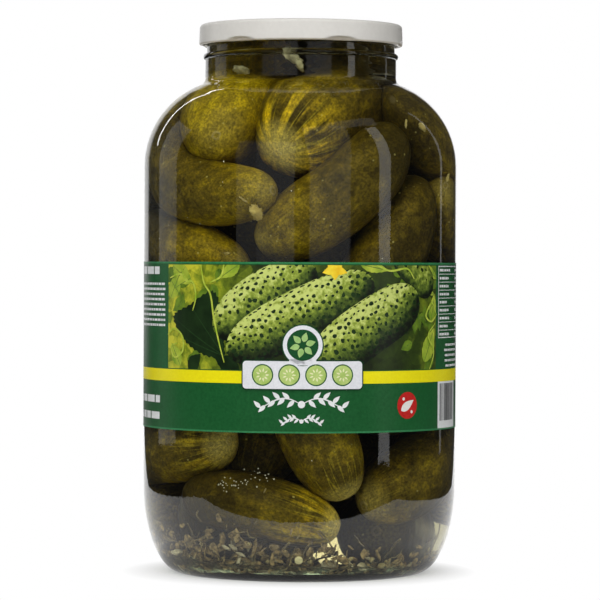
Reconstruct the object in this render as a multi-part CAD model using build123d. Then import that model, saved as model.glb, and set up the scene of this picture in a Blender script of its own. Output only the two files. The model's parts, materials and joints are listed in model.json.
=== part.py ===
from build123d import *
import os
from math import acos, degrees, radians, sin, sqrt, tan

# Large pickle jar: round glass jar filled with brine, a twist-off lid with its sealing ring, and a
# paper label glued around the glass.
#
# Millimetres, +Z up. The origin is the middle of the resting ring under the jar. The middle of the
# label's front faces -Y, and angles "from the front" count towards +X.

# Glass: body
BODY_R = 79.2  # outside of the straight wall
WALL = 3.4  # thickness of heel, wall and shoulder
HEEL_REACH = 19.2  # how far the heel curves in from the wall to the resting ring
HEEL_H = 44.0  # height at which the heel runs into the straight wall
REST_W = 5.0  # width of the flat ring that the jar stands on
PUSH_UP = 4.0  # rise of the underside at the middle
BASE_T = 6.0  # thickness over the resting ring
SHOULDER_Z = 205.5  # height at which the straight wall ends
SHOULDER_R = 44.0  # radius of the shoulder's round, outside

# Glass: neck and finish, the part under the lid
NECK_R = 48.5  # outside of the neck
NECK_WALL = 4.0
NECK_FILLET_R = 4.0  # hollow between shoulder and neck, outside
NECK_H = 25.8  # from the hollow to the rim
FINISH_SET_IN = 0.8  # how much slimmer the finish is than the neck
RIM_EDGE_R = 1.0  # rounding of the rim's two edges
BEAD_PROUD = 1.0  # how far the bead stands out from the neck
BEAD_H = 3.2
BEAD_DROP = 5.5  # from the lid's lower edge down to the middle of the bead
THREADS = 6
THREAD_PROUD = 1.8  # how far a thread ridge stands out from the finish
THREAD_R = 1.5  # half thickness of a ridge
THREAD_SPAN = 34.0  # degrees
THREAD_TILT = 3.0  # degrees

# Contents
HEADSPACE = 10.4  # from the surface of the brine up to the rim

# Lid, pressed from sheet, and its sealing ring
LID_H = 10.6
LID_SHEET = 0.3
LID_GAP = 1.6  # from the thread ridges out to the skirt
LID_EDGE_R = 1.8  # rounding of the upper edge, outside
LID_FLARE = 0.25  # how much wider the skirt is at the bottom
CURL_R = 0.9  # half thickness of the rolled lower edge
PANEL_GAP = 1.0  # from the mouth's wall in to the top of the panel's slope
PANEL_SLOPE = 2.0  # width of that slope
PANEL_DEPTH = 1.4  # how far the panel is sunk
LUG_H = 1.2
LUG_SPAN = 20.0  # degrees
LUG_GAP = 0.6  # from the lug's tip in to the finish
LUG_PLAY = 0.3  # from the lug up to the thread ridge above it
FIRST_LUG = -36.75  # degrees from the front
LINER_T = 0.9
LINER_GAP = 0.3  # from the liner to the mouth's edge and to the lid's rounding

# Label
LABEL_BOTTOM = 74.0
LABEL_H = 83.0
LABEL_T = 0.12
SEAM_AT = 200.0  # middle of the overlap, degrees from the front
SEAM_SPAN = 8.0  # degrees

# Worked out from the sizes above
REST_OUTER_R = BODY_R - HEEL_REACH
REST_INNER_R = REST_OUTER_R - REST_W
INNER_FOOT_R = REST_OUTER_R - WALL / 2
SHOULDER_MID_R = BODY_R - SHOULDER_R
FILLET_MID_R = NECK_R + NECK_FILLET_R
MOUTH_R = NECK_R - NECK_WALL
FINISH_R = NECK_R - FINISH_SET_IN
THREAD_OUTER_R = FINISH_R + THREAD_PROUD
SKIRT_R = THREAD_OUTER_R + LID_GAP + LID_SHEET


def fillet_height(inset, neck_r):
    """Height of the middle of the hollow between shoulder and neck."""
    reach = SHOULDER_R - inset + FILLET_MID_R - neck_r
    return SHOULDER_Z + sqrt(reach**2 - (FILLET_MID_R - SHOULDER_MID_R) ** 2)


RIM_Z = fillet_height(0, NECK_R) + NECK_H
BRINE_Z = RIM_Z - HEADSPACE
LID_TOP = RIM_Z + LINER_T + LID_SHEET
LID_BOTTOM = LID_TOP - LID_H
CURL_Z = LID_BOTTOM + CURL_R
BEAD_Z = LID_BOTTOM - BEAD_DROP


def turned(edges, span=360.0):
    """Revolve the closed outline that edges make, radius across and height up, about Z."""
    return revolve(make_face(Plane.XZ * (Curve() + edges)), Axis.Z, span)


def ring(inner_r, outer_r, bottom, height, span=360.0):
    """Ring of rectangular section, or the stretch of one that starts at +X."""
    low = (inner_r, bottom)
    far = (outer_r, bottom + height)
    corners = [low, (far[0], low[1]), far, (low[0], far[1]), low]
    return turned([Polyline(*corners)], span)


def facing(angle, part, span):
    """Turn a part that spans so many degrees from +X to lie around an angle from the front."""
    return Rot(0, 0, angle - 90 - span / 2) * part


def dome(rim_r, rim_z, rise):
    """Half outline of a shallow dome, from the axis down to its rim."""
    sphere_r = (rim_r**2 + rise**2) / (2 * rise)
    half_z = rim_z + rise - sphere_r + sqrt(sphere_r**2 - (rim_r / 2) ** 2)
    return ThreePointArc((0, rim_z + rise), (rim_r / 2, half_z), (rim_r, rim_z))


def side(inset, foot_r, foot_z, neck_r):
    """Heel, straight wall, shoulder and hollow of a surface that lies inset behind the outside."""
    wall_r = BODY_R - inset
    round_r = SHOULDER_R - inset
    fillet_r = FILLET_MID_R - neck_r
    lean = degrees(acos((FILLET_MID_R - SHOULDER_MID_R) / (round_r + fillet_r)))
    fillet_mid = (FILLET_MID_R, fillet_height(inset, neck_r))
    return [
        EllipticalCenterArc((foot_r, HEEL_H), wall_r - foot_r, HEEL_H - foot_z, 270, arc_size=90),
        Line((wall_r, HEEL_H), (wall_r, SHOULDER_Z)),
        CenterArc((SHOULDER_MID_R, SHOULDER_Z), round_r, 0, lean),
        CenterArc(fillet_mid, fillet_r, 180 + lean, -lean),
    ]


def outside():
    """Outside of the glass, from the middle of the underside to the flat of the rim."""
    bead_low = BEAD_Z - BEAD_H / 2
    bead_high = BEAD_Z + BEAD_H / 2
    edge_z = RIM_Z - RIM_EDGE_R
    return [
        dome(REST_INNER_R, 0, PUSH_UP),
        Line((REST_INNER_R, 0), (REST_OUTER_R, 0)),
        *side(0, REST_OUTER_R, 0, NECK_R),
        Line((NECK_R, fillet_height(0, NECK_R)), (NECK_R, bead_low)),
        ThreePointArc((NECK_R, bead_low), (NECK_R + BEAD_PROUD, BEAD_Z), (FINISH_R, bead_high)),
        Line((FINISH_R, bead_high), (FINISH_R, edge_z)),
        CenterArc((FINISH_R - RIM_EDGE_R, edge_z), RIM_EDGE_R, 0, 90),
    ]


def inside():
    """Inside of the glass, from the middle of the floor to the foot of the neck."""
    return [
        dome(INNER_FOOT_R, BASE_T, PUSH_UP),
        *side(WALL, INNER_FOOT_R, BASE_T, MOUTH_R),
    ]


def thread(number):
    """One slanting ridge that a lug of the lid hooks under."""
    major_r = THREAD_OUTER_R - THREAD_R
    drop = major_r * sin(radians(LUG_SPAN / 2)) * tan(radians(THREAD_TILT))
    height = CURL_Z + LUG_H / 2 + LUG_PLAY + drop + THREAD_R
    ridge = Torus(major_r, THREAD_R, major_angle=THREAD_SPAN, align=None)
    level = Rot(0, 0, -THREAD_SPAN / 2) * ridge
    tilted = Rot(THREAD_TILT, 0, 0) * level
    return Pos(0, 0, height) * facing(FIRST_LUG + number * 360 / THREADS, tilted, 0)


def make_jar():
    """Glass jar with thread ridges."""
    edge_z = RIM_Z - RIM_EDGE_R
    rim_and_mouth = [
        Line((FINISH_R - RIM_EDGE_R, RIM_Z), (MOUTH_R + RIM_EDGE_R, RIM_Z)),
        CenterArc((MOUTH_R + RIM_EDGE_R, edge_z), RIM_EDGE_R, 90, 90),
        Line((MOUTH_R, edge_z), (MOUTH_R, fillet_height(WALL, MOUTH_R))),
    ]
    middle = Line((0, PUSH_UP), (0, BASE_T + PUSH_UP))
    glass = turned([*outside(), *rim_and_mouth, *inside(), middle])
    between_threads = FIRST_LUG + 180 / THREADS
    glass = facing(between_threads, glass, 0)
    for number in range(THREADS):
        glass += thread(number)
    return glass


def make_brine():
    """What fills the jar, up to the surface of the brine."""
    surface = [
        Line((MOUTH_R, fillet_height(WALL, MOUTH_R)), (MOUTH_R, BRINE_Z)),
        Line((MOUTH_R, BRINE_Z), (0, BRINE_Z)),
        Line((0, BRINE_Z), (0, BASE_T + PUSH_UP)),
    ]
    return turned([*inside(), *surface])


def make_lid():
    """Sheet lid with a sunk panel, a rolled lower edge and a lug under each thread ridge."""
    slope_top_r = MOUTH_R - PANEL_GAP
    panel_r = slope_top_r - PANEL_SLOPE
    panel_z = LID_TOP - PANEL_DEPTH
    edge_r = SKIRT_R - LID_EDGE_R
    edge_z = LID_TOP - LID_EDGE_R
    foot_r = SKIRT_R + LID_FLARE
    curl_mid = (foot_r - CURL_R, CURL_Z)
    curl_start = degrees(acos((CURL_R - LID_SHEET) / CURL_R))
    curl_top = (foot_r - LID_SHEET, CURL_Z + CURL_R * sin(radians(curl_start)))
    upper = [(0, panel_z), (panel_r, panel_z), (slope_top_r, LID_TOP), (edge_r, LID_TOP)]
    lower = [(r, z - LID_SHEET) for r, z in upper]
    sheet = turned([
        Polyline(*upper),
        CenterArc((edge_r, edge_z), LID_EDGE_R, 0, 90),
        Line((SKIRT_R, edge_z), (foot_r, CURL_Z)),
        CenterArc(curl_mid, CURL_R, curl_start, 360 - curl_start),
        Line(curl_top, (SKIRT_R - LID_SHEET, edge_z)),
        CenterArc((edge_r, edge_z), LID_EDGE_R - LID_SHEET, 0, 90),
        Polyline(*lower),
        Line(lower[0], upper[0]),
    ])
    lug = ring(FINISH_R + LUG_GAP, curl_mid[0], CURL_Z - LUG_H / 2, LUG_H, LUG_SPAN)
    for number in range(THREADS):
        sheet += facing(FIRST_LUG + number * 360 / THREADS, lug, LUG_SPAN)
    return sheet


def make_liner():
    """Sealing ring between the rim of the glass and the lid."""
    outer_r = SKIRT_R - LID_EDGE_R - LINER_GAP
    return ring(MOUTH_R + LINER_GAP, outer_r, RIM_Z, LINER_T)


def make_label():
    """Paper wrapped once around the glass, with its end lapped over its start."""
    paper_r = BODY_R + LABEL_T
    wrap = ring(BODY_R, paper_r, LABEL_BOTTOM, LABEL_H)
    lap = ring(paper_r, paper_r + LABEL_T, LABEL_BOTTOM, LABEL_H, SEAM_SPAN)
    return wrap + facing(SEAM_AT, lap, SEAM_SPAN)


def main():
    nodes = {
        "jar": make_jar(),
        "brine": make_brine(),
        "lid": make_lid(),
        "lid_liner": make_liner(),
        "label": make_label(),
    }
    os.makedirs("parts", exist_ok=True)
    for name, part in nodes.items():
        export_step(part, f"parts/{name}.step")


main()
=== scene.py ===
"""Looks of the pickle jar: glass, brine, gherkins, spices, lid, printed label, table and lights.

Metres, in the row's frame: +Z up, the middle of the label faces -Y. Angles count from the front
towards +X.
"""
import json
import math
import bmesh
import bpy
import numpy as np
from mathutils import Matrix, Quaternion, Vector

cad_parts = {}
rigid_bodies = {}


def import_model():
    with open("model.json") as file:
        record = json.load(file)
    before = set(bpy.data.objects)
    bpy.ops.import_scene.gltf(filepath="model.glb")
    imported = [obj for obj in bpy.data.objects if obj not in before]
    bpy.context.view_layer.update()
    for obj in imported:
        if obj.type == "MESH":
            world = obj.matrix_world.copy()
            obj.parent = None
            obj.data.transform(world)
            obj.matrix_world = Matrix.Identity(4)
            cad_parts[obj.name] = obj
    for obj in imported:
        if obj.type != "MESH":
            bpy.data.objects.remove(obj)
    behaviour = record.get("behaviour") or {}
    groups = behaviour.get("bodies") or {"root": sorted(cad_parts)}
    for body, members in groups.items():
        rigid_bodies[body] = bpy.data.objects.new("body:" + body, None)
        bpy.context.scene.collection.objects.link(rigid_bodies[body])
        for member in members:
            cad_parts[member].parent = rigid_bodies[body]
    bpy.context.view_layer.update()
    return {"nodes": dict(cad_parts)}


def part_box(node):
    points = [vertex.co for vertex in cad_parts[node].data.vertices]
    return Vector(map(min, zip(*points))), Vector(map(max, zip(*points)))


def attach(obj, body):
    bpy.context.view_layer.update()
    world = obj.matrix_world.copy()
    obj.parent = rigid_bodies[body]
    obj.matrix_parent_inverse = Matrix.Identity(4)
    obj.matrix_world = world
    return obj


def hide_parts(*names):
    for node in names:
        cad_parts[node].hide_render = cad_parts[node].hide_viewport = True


MM = 0.001

for leftover in list(bpy.data.objects):
    bpy.data.objects.remove(leftover)
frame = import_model()
chance = np.random.default_rng(12)


# ---------------------------------------------------------------- outline of the jar's inside

def inside_outline():
    """Radius and height of the floor, from the axis out, and of the side, from the foot up."""
    points = np.array([vertex.co for vertex in frame["nodes"]["brine"].data.vertices])
    across = np.hypot(points[:, 0], points[:, 1])
    height = points[:, 2]
    foot_r = across[height < height.min() + 0.01 * MM].max()
    low = (height < 20 * MM) & (across <= foot_r + 0.01 * MM)
    floor = sorted({(round(r, 6), round(z, 6)) for r, z in zip(across[low], height[low])})
    high = {}
    for r, z in zip(across[~low], height[~low]):
        level = round(z, 5)
        high[level] = max(r, high.get(level, 0))
    side = [(r, z) for z, r in sorted(high.items())]
    return np.array(floor), np.array([floor[-1], *side])


FLOOR, SIDE = inside_outline()
OUTLINE = np.vstack([FLOOR, SIDE[1:]])
BRINE_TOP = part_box("brine")[1][2]
UNDERSIDE_RISE = 4 * MM  # how far the underside of the glass rises in the middle
MOUTH_R = SIDE[-1][0]


def inner_radius(height):
    return np.interp(height, SIDE[:, 1], SIDE[:, 0])


def floor_height(across):
    return np.interp(across, FLOOR[:, 0], FLOOR[:, 1])


def wall_gap(points):
    """Distance of points from the glass, negative outside it, and the way inwards."""
    across = np.hypot(points[:, 0], points[:, 1])
    flat = np.stack([across, points[:, 2]], axis=1)
    start, run = OUTLINE[:-1], np.diff(OUTLINE, axis=0)
    along = ((flat[:, None] - start) * run).sum(2) / (run**2).sum(1)
    nearest = start + along.clip(0, 1)[..., None] * run
    away = flat[:, None] - nearest
    pick = (away**2).sum(2).argmin(1)
    away = away[np.arange(len(flat)), pick]
    gap = np.maximum(np.hypot(*away.T), 1e-9)
    inside = (across < inner_radius(points[:, 2])) & (points[:, 2] > floor_height(across))
    sign = np.where(inside, 1, -1)
    away = away / gap[:, None] * sign[:, None]
    radial = points[:, :2] / np.maximum(across, 1e-9)[:, None]
    return gap * sign, np.column_stack([radial * away[:, :1], away[:, 1]])


# ---------------------------------------------------------------- meshes

def place_mesh(name, mesh, material):
    """A piece that rides on the jar."""
    mesh.materials.append(material)
    piece = bpy.data.objects.new(name, mesh)
    bpy.context.collection.objects.link(piece)
    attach(piece, "root")
    return piece


def new_piece(name, points, faces, material):
    """A smooth piece from points and faces."""
    mesh = bpy.data.meshes.new(name)
    mesh.from_pydata([tuple(p) for p in points], [], [tuple(f) for f in faces])
    mesh.polygons.foreach_set("use_smooth", [True] * len(mesh.polygons))
    mesh.update()
    return place_mesh(name, mesh, material)


def full_turn(steps):
    """Evenly spaced angles all round."""
    return np.arange(steps) * 2 * math.pi / steps


def set_attribute(piece, name, values, kind="FLOAT"):
    made = piece.data.attributes.new(name, kind, "POINT")
    made.data.foreach_set("vector" if kind == "FLOAT_VECTOR" else "value", np.ravel(values))


def grid_faces(rows, columns, around=False, first=0):
    """Quads of a grid of points stored row by row, closed around if asked."""
    faces = []
    for row in range(rows - 1):
        for column in range(columns if around else columns - 1):
            beside = (column + 1) % columns
            low, high = first + row * columns, first + (row + 1) * columns
            faces.append((low + column, low + beside, high + beside, high + column))
    return faces


def fan(ring, count, pole):
    """Triangles between a ring of points, which starts at an index, and a pole over it."""
    return [(ring + step, ring + (step + 1) % count, pole) for step in range(count)]


def turned_over(faces):
    return [face[::-1] for face in faces]


def closed_faces(rings, count, poles, first=0):
    """Faces of rings of points stored one after another, with a pole over each end."""
    last = first + (rings - 1) * count
    ends = turned_over(fan(first, count, poles[0])) + fan(last, count, poles[1])
    return grid_faces(rings, count, around=True, first=first) + ends


def join_meshes(parts):
    """Points and faces of several (points, faces) pairs as one pair."""
    points, faces = [], []
    for more_points, more_faces in parts:
        shift = sum(len(p) for p in points)
        points.append(np.asarray(more_points))
        faces += [[index + shift for index in face] for face in more_faces]
    return np.vstack(points), faces


def lathe(outline, segments=256):
    """Turn an open (radius, height) outline, drawn anticlockwise from axis to axis, about Z."""
    middle = outline[1:-1]
    ring = np.array([[(r * math.cos(a), r * math.sin(a), z) for a in full_turn(segments)] for r, z in middle])
    points = np.vstack([ring.reshape(-1, 3), (0, 0, outline[0][1]), (0, 0, outline[-1][1])])
    return points, closed_faces(len(middle), segments, (len(points) - 2, len(points) - 1))


def blob(radii, segments=10, rings=6):
    """Small closed ball with three half axes."""
    points = [(0, 0, -1)]
    for tilt in math.pi * np.arange(1, rings) / rings - math.pi / 2:
        out = math.cos(tilt)
        for turn in full_turn(segments):
            points.append((out * math.cos(turn), out * math.sin(turn), math.sin(tilt)))
    points.append((0, 0, 1))
    return np.array(points) * radii, closed_faces(rings - 1, segments, (0, len(points) - 1), first=1)


# ---------------------------------------------------------------- materials

class Signal:
    """Output of a shader node. Reckoning with it adds Math nodes."""

    def __init__(self, socket):
        self.socket = socket
        self.tree = socket.id_data

    def reckon(self, operation, other=0.0):
        return signal(self.tree, "ShaderNodeMath", 0, {0: self, 1: other}, operation=operation)

    def __add__(self, other):
        return self.reckon("ADD", other)

    def __sub__(self, other):
        return self.reckon("SUBTRACT", other)

    def __mul__(self, other):
        return self.reckon("MULTIPLY", other)

    def __lt__(self, other):
        return self.reckon("LESS_THAN", other)

    def __gt__(self, other):
        return self.reckon("GREATER_THAN", other)

    def __abs__(self):
        return self.reckon("ABSOLUTE")


def feed(node, inputs):
    """Link a node's inputs to signals, or set them."""
    for name, value in inputs.items():
        socket = node.inputs[name]
        if isinstance(value, Signal):
            value.tree.links.new(value.socket, socket)
        else:
            socket.default_value = (*value, 1) if socket.type == "RGBA" else value


def outputs(tree, kind, inputs=None, **settings):
    """Add a node with its settings and inputs, and return its outputs as signals."""
    made = tree.nodes.new(kind)
    for name, value in settings.items():
        setattr(made, name, value)
    feed(made, inputs or {})
    return [Signal(socket) for socket in made.outputs]


def signal(tree, kind, output, inputs=None, **settings):
    """One output of a new node, by its number or name."""
    made = outputs(tree, kind, inputs, **settings)
    return made[output] if isinstance(output, int) else by_name(made)[output]


def by_name(signals):
    return {each.socket.name: each for each in signals}


def new_material(name):
    """A material with an empty tree but for its output and a Principled shader."""
    material = bpy.data.materials.new(name)
    material.use_nodes = True
    tree = material.node_tree
    return material, tree, tree.nodes["Principled BSDF"], tree.nodes["Material Output"]


def ramp(factor, stops):
    """Colour ramp through (place, colour) stops."""
    made = signal(factor.tree, "ShaderNodeValToRGB", "Color", {"Fac": factor})
    band = made.socket.node.color_ramp
    while len(band.elements) < len(stops):
        band.elements.new(1)
    for element, (place, shade) in zip(band.elements, stops):
        element.position = place
        element.color = (*shade, 1)
    return made


def mix(factor, first, second, blend="MIX"):
    """Mix of two colours, at least one of which, or the factor, is a signal."""
    tree = next(value.tree for value in (factor, first) if isinstance(value, Signal))
    inputs = {0: factor, 6: first, 7: second}
    return signal(tree, "ShaderNodeMix", 2, inputs, data_type="RGBA", blend_type=blend)


def mix_shaders(factor, first, second):
    return signal(factor.tree, "ShaderNodeMixShader", 0, {0: factor, 1: first, 2: second})


def noise(place, scale, detail=3.0, roughness=0.5):
    inputs = {"Vector": place, "Scale": scale, "Detail": detail, "Roughness": roughness}
    return signal(place.tree, "ShaderNodeTexNoise", "Fac", inputs)


def cells(place, scale, **settings):
    """Distance to the middle of each cell of an uneven pattern, and a chance colour for each."""
    return outputs(place.tree, "ShaderNodeTexVoronoi", {"Vector": place, "Scale": scale}, **settings)[:2]


def spread(value, low, high):
    """Stretch a value so that low becomes 0 and high becomes 1, and hold it between them."""
    inputs = {"Value": value, "From Min": low, "From Max": high}
    return signal(value.tree, "ShaderNodeMapRange", "Result", inputs)


def split(vector):
    """The three numbers of a vector or colour."""
    return outputs(vector.tree, "ShaderNodeSeparateXYZ", {0: vector})


def attribute(tree, name, output="Fac"):
    return signal(tree, "ShaderNodeAttribute", output, attribute_name=name)


def bump(height, strength, distance):
    inputs = {"Height": height, "Strength": strength, "Distance": distance}
    return signal(height.tree, "ShaderNodeBump", "Normal", inputs)


def object_place(tree):
    return signal(tree, "ShaderNodeTexCoord", "Object")


def let_light_in(shader, tint, output):
    """Shadow and diffuse rays pass straight through, so lamps light what is inside."""
    rays = by_name(outputs(shader.id_data, "ShaderNodeLightPath"))
    passing = rays["Is Shadow Ray"].reckon("MAXIMUM", rays["Is Diffuse Ray"])
    clear = signal(shader.id_data, "ShaderNodeBsdfTransparent", 0, {"Color": tint})
    feed(output, {"Surface": mix_shaders(passing, Signal(shader.outputs[0]), clear)})


def faces_brine(place):
    """1 on the faces of the glass that touch the brine, 0 on the rest."""
    geometry = by_name(outputs(place.tree, "ShaderNodeNewGeometry"))
    flat = signal(place.tree, "ShaderNodeVectorMath", 0, {0: place, 1: (1, 1, 0)}, operation="MULTIPLY")
    way = signal(place.tree, "ShaderNodeVectorMath", "Value", {0: flat, 1: geometry["True Normal"]},
                 operation="DOT_PRODUCT")
    inward = way * (geometry["Backfacing"] * -2 + 1) < 0
    height = split(place)[2]
    return inward * (height < BRINE_TOP) * (height > (FLOOR[:, 1].min() + UNDERSIDE_RISE) / 2)


def glass_material():
    """Clear glass with the waviness of a moulded jar and rings in its neck.

    Where it touches brine it hardly mirrors.
    """
    material, tree, shader, output = new_material("glass")
    place = object_place(tree)
    stretch = signal(tree, "ShaderNodeMapping", "Vector", {"Vector": place, "Scale": (1, 1, 0.35)})
    waves = noise(stretch, 30, 2) + noise(place, 130, 4, 0.6) * 0.12
    height = split(place)[2]
    rings = (height * 1700.0 + noise(place, 26, 2) * 7.0).reckon("SINE")
    rings = rings * spread(height, 0.236, 0.25) * 0.42
    feed(shader, {
        "Base Color": (0.95, 0.98, 0.95),
        "Roughness": 0.0,
        "IOR": 1.5,
        "Transmission Weight": 1.0,
        "Specular Tint": mix(faces_brine(place), (1, 1, 1), (0.06, 0.06, 0.06)),
        "Normal": bump(waves + rings, 0.12, 1.2 * MM),
    })
    let_light_in(shader, (0.96, 0.98, 0.96), output)
    return material


def brine_material():
    """Clear yellowish brine, which mirrors on its top only."""
    material, tree, shader, output = new_material("brine")
    place = object_place(tree)
    surface = split(place)[2] > BRINE_TOP - 0.1 * MM
    feed(shader, {
        "Base Color": (0.97, 0.94, 0.74),
        "Roughness": 0.0,
        "IOR": 1.34,
        "Transmission Weight": 1.0,
        "Specular Tint": mix(surface, (0, 0, 0), (1, 1, 1)),
        "Normal": bump(noise(place, 60, 2), 0.05, 0.5 * MM),
    })
    depth = {"Color": (0.62, 0.5, 0.12), "Density": 9.0}
    feed(output, {"Volume": signal(tree, "ShaderNodeVolumeAbsorption", 0, depth)})
    let_light_in(shader, (0.99, 0.98, 0.9), output)
    return material


def gherkin_material():
    """Olive skin: yellow mottling and flecks, pale streaks from the blossom end, low warts."""
    material, tree, shader, _ = new_material("gherkin")
    place = attribute(tree, "rest", "Vector")
    around = attribute(tree, "around", "Vector")
    blossom = attribute(tree, "from_blossom")
    strength = attribute(tree, "streaks")
    blotch = noise(place, 190, 4, 0.62)
    darker = spread(blossom, 38 * MM, 78 * MM) * 0.16 + 0.08
    # Brightness of each gherkin: its own tone, and painted shade on those set back in the neck and the
    # middle.
    level = noise(place, 30, 3) * 0.7 + blotch * 0.55 - darker + attribute(tree, "tone")
    skin = ramp(spread(level, 0.36, 0.86), [
        (0.0, (0.045, 0.031, 0.004)),
        (0.35, (0.125, 0.086, 0.006)),
        (0.7, (0.31, 0.22, 0.005)),
        (1.0, (0.6, 0.44, 0.006)),
    ])
    fade = spread(blossom, 42 * MM, 20 * MM)
    streak = spread(noise(around, 4.2, 3, 0.6), 0.46, 0.62) * spread(blotch, 0.2, 0.6)
    skin = mix(streak * (fade * spread(strength, 0.8, 1.0)), skin, (0.8, 0.55, 0.008))
    line = spread(abs(noise(around, 4.5, 1, 0.3) - 0.5), 0.03, 0.008) * (strength * 0.5)
    skin = mix(line * fade, skin, (0.5, 0.4, 0.03))
    tip = spread(blossom, 17 * MM, 4 * MM) * (strength + 0.1)
    skin = mix(tip * 0.75, skin, (0.66, 0.55, 0.2))
    grain = noise(place, 800, 5, 0.7)
    flecks = ramp(grain, [
        (0.36, (0.4, 0.38, 0.34)),
        (0.5, (0.9, 0.9, 0.82)),
        (0.62, (1.6, 1.52, 1.0)),
    ])
    skin = mix(0.8, skin, flecks, "MULTIPLY")
    distance, lot = cells(place, 210.0)
    dot = spread(distance, 0.14, 0.07) * spread(split(lot)[0], 0.6, 0.7)
    skin = mix(dot * 0.6, skin, (0.52, 0.45, 0.14))
    wander = (blotch - 0.5) * (3 * MM)
    ring = spread(abs(blossom + wander - 1.8 * MM), 0.8 * MM, 0.3 * MM)
    skin = mix(ring * 0.4, skin, (0.46, 0.38, 0.2))
    scar = spread(attribute(tree, "from_stem") + wander, 2.6 * MM, 1.6 * MM)
    wart = spread(cells(place, 125.0, feature="SMOOTH_F1")[0], 0.5, 0.05)
    height = wart * 0.8 + grain * 0.35 + blotch * 0.8 + ring * 0.8
    feed(shader, {
        "Base Color": mix(scar, skin, (0.1, 0.075, 0.03)),
        "Normal": bump(height, 0.6, 0.8 * MM),
        "Roughness": 0.4,
        "Specular IOR Level": 0.2,
    })
    return material


def speckled_material(name, dark, light, scale, roughness=0.5, specular=0.3):
    """Two colours in a fine mottle, for seeds, herbs and flakes."""
    material, tree, shader, _ = new_material(name)
    pattern = noise(object_place(tree), scale, 4)
    feed(shader, {
        "Base Color": ramp(pattern, [(0.35, dark), (0.65, light)]),
        "Normal": bump(pattern, 0.4, 0.4 * MM),
        "Roughness": roughness,
        "Specular IOR Level": specular,
    })
    return material


def ink(red, green, blue):
    """Linear colour of a printed one, given as 0 to 255."""
    shades = [value / 255 for value in (red, green, blue)]
    return [s / 12.92 if s <= 0.04045 else ((s + 0.055) / 1.055) ** 2.4 for s in shades]


def inked(name, dark, light, scale=900):
    """Ink on coated paper, between two colours of 0 to 255: almost even, with the paper's tooth."""
    material, tree, shader, _ = new_material(name)
    place = object_place(tree)
    tooth = noise(place, scale, 3)
    feed(shader, {
        "Base Color": ramp(tooth, [(0.3, ink(*dark)), (0.7, ink(*light))]),
        "Normal": bump(tooth * 0.03 + noise(place, 45, 2), 0.15, 0.3 * MM),
        "Roughness": 0.32,
        "Specular IOR Level": 0.25,
    })
    return material


def picture_ink(name, level_of, stops):
    """Printed picture colour that follows a level, which a function makes from the place and shade."""
    material, tree, shader, _ = new_material(name)
    level = level_of(object_place(tree), attribute(tree, "shade"))
    shades = ramp(level, [(place, ink(*shade)) for place, shade in stops])
    feed(shader, {"Base Color": shades, "Roughness": 0.38, "Specular IOR Level": 0.4})
    return material


def lid_material():
    """Pale lacquer on tinplate, tan along the rolled lower edge, and tan in the crescent dents as painted
    shade.
    """
    material, tree, shader, _ = new_material("lid_lacquer")
    place = object_place(tree)
    fine = noise(place, 420, 4)
    lacquer = ramp(fine, [(0.3, (0.69, 0.67, 0.63)), (0.7, (0.72, 0.7, 0.66))])
    # The edge attribute turns the lacquer tan along the lower edge, and tan in the crescent dents as painted
    # shade.
    worn = spread(attribute(tree, "edge"), 0.1, 0.7) * (noise(place, 260, 3) * 0.4 + 0.4)
    feed(shader, {
        "Base Color": mix(worn, lacquer, (0.42, 0.34, 0.22)),
        "Normal": bump(fine, 0.08, 0.2 * MM),
        "Roughness": 0.36,
        "Specular IOR Level": 0.5,
        "Coat Weight": 0.2,
        "Coat Roughness": 0.2,
    })
    return material


# ---------------------------------------------------------------- brine

WALL_BITE = 0.15 * MM  # how far the brine reaches into the glass
MENISCUS = [(4.5, 0.0), (2.4, 0.12), (1.2, 0.5), (0.5, 1.1)]  # mm from the wall and above the surface


def make_brine():
    """The liquid as one body, which reaches a little into the glass and climbs at its rim."""
    lean = np.gradient(OUTLINE, axis=0)
    lean /= np.hypot(*lean.T)[:, None]
    outer = OUTLINE + np.column_stack([lean[:, 1], -lean[:, 0]]) * WALL_BITE
    outer[0] = (0, OUTLINE[0][1] - WALL_BITE)
    outer[-1] = (MOUTH_R + WALL_BITE, BRINE_TOP + 1.6 * MM)
    surface = [(MOUTH_R - away * MM, BRINE_TOP + up * MM) for away, up in reversed(MENISCUS)]
    points, faces = lathe([*map(tuple, outer), *surface, (0, BRINE_TOP)])
    piece = new_piece("brine_fill", points, faces, brine_material())
    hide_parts("brine")


# ---------------------------------------------------------------- gherkins

NODES = 7  # balls that stand for one gherkin while they settle
BALL_SHAPE = np.array([0.72, 0.9, 1.0, 1.0, 1.0, 0.9, 0.72])
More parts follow.
